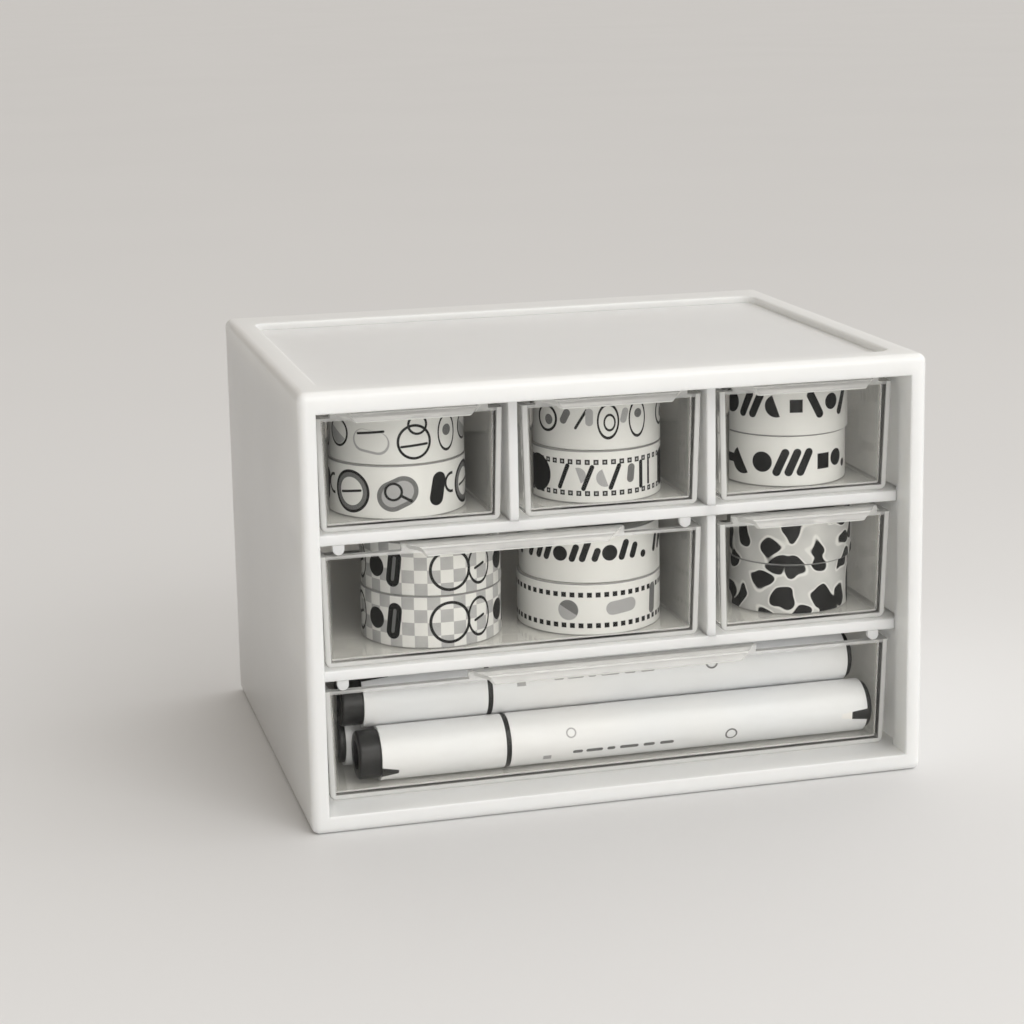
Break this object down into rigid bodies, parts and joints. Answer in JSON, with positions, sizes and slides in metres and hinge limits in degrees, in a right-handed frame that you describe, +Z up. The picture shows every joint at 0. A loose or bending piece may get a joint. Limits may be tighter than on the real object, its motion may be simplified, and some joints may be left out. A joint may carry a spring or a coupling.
{
  "type": "drawer organizer",
  "caption": "Small white desktop drawer case with a recessed top and clear slide-out trays that hold rolls of decorative tape and marker pens.",
  "frame": {"origin": "centre of the footprint, on the surface the box stands on", "axes": "+X to the right seen from the front, +Y from the front to the back, +Z up; the trays slide out along -Y"},
  "size_m": [0.18, 0.138, 0.1233],
  "materials": {
    "case_white": "glossy moulded polystyrene",
    "tray_clear": "clear moulded polystyrene",
    "core_paper": "plain pale board",
    "marker_white": "satin white sleeve",
    "marker_black": "glossy black plug",
    "stack_a_lower_print": null,
    "stack_a_upper_print": null,
    "stack_b_lower_print": null,
    "stack_b_upper_print": null,
    "stack_c_lower_print": null,
    "stack_c_upper_print": null,
    "stack_d_lower_print": null,
    "stack_d_upper_print": null,
    "stack_e_lower_print": null,
    "stack_e_upper_print": null,
    "stack_f_lower_print": null,
    "stack_f_upper_print": null
  },
  "bodies": {
    "case": {"case_shell": "case_white", "back_panel": "case_white", "shelf_upper": "case_white", "shelf_lower": "case_white", "divider_left": "case_white", "divider_right": "case_white"},
    "top_left_drawer": {"drawer_top_left": "tray_clear", "stack_a_lower_tape": "stack_a_lower_print", "stack_a_lower_core": "core_paper", "stack_a_upper_tape": "stack_a_upper_print", "stack_a_upper_core": "core_paper"},
    "top_middle_drawer": {"drawer_top_middle": "tray_clear", "stack_b_lower_tape": "stack_b_lower_print", "stack_b_lower_core": "core_paper", "stack_b_upper_tape": "stack_b_upper_print", "stack_b_upper_core": "core_paper"},
    "top_right_drawer": {"drawer_top_right": "tray_clear", "stack_c_lower_tape": "stack_c_lower_print", "stack_c_lower_core": "core_paper", "stack_c_upper_tape": "stack_c_upper_print", "stack_c_upper_core": "core_paper"},
    "middle_double_drawer": {"drawer_middle_double": "tray_clear", "stack_d_lower_tape": "stack_d_lower_print", "stack_d_lower_core": "core_paper", "stack_d_upper_tape": "stack_d_upper_print", "stack_d_upper_core": "core_paper", "stack_e_lower_tape": "stack_e_lower_print", "stack_e_lower_core": "core_paper", "stack_e_upper_tape": "stack_e_upper_print", "stack_e_upper_core": "core_paper"},
    "middle_right_drawer": {"drawer_middle_right": "tray_clear", "stack_f_lower_tape": "stack_f_lower_print", "stack_f_lower_core": "core_paper", "stack_f_upper_tape": "stack_f_upper_print", "stack_f_upper_core": "core_paper"},
    "bottom_drawer": {"drawer_bottom": "tray_clear", "marker_front_plug": "marker_black", "marker_front_cap": "marker_white", "marker_front_ring": "marker_black", "marker_front_barrel": "marker_white", "marker_front_disc": "marker_black", "marker_upper_plug": "marker_black", "marker_upper_cap": "marker_white", "marker_upper_ring": "marker_black", "marker_upper_barrel": "marker_white", "marker_upper_disc": "marker_black", "marker_rear_plug": "marker_black", "marker_rear_cap": "marker_white", "marker_rear_ring": "marker_black", "marker_rear_barrel": "marker_white", "marker_rear_disc": "marker_black"}
  },
  "joints": [
    {"name": "top_left_drawer_slide", "type": "slide", "parent": "case", "child": "top_left_drawer", "axis": [0, -1, 0], "range_m": [0, 0.0919]},
    {"name": "top_middle_drawer_slide", "type": "slide", "parent": "case", "child": "top_middle_drawer", "axis": [0, -1, 0], "range_m": [0, 0.0919]},
    {"name": "top_right_drawer_slide", "type": "slide", "parent": "case", "child": "top_right_drawer", "axis": [0, -1, 0], "range_m": [0, 0.0919]},
    {"name": "middle_double_drawer_slide", "type": "slide", "parent": "case", "child": "middle_double_drawer", "axis": [0, -1, 0], "range_m": [0, 0.1193]},
    {"name": "middle_right_drawer_slide", "type": "slide", "parent": "case", "child": "middle_right_drawer", "axis": [0, -1, 0], "range_m": [0, 0.0919]},
    {"name": "bottom_drawer_slide", "type": "slide", "parent": "case", "child": "bottom_drawer", "axis": [0, -1, 0], "range_m": [0, 0.1193]}
  ]
}
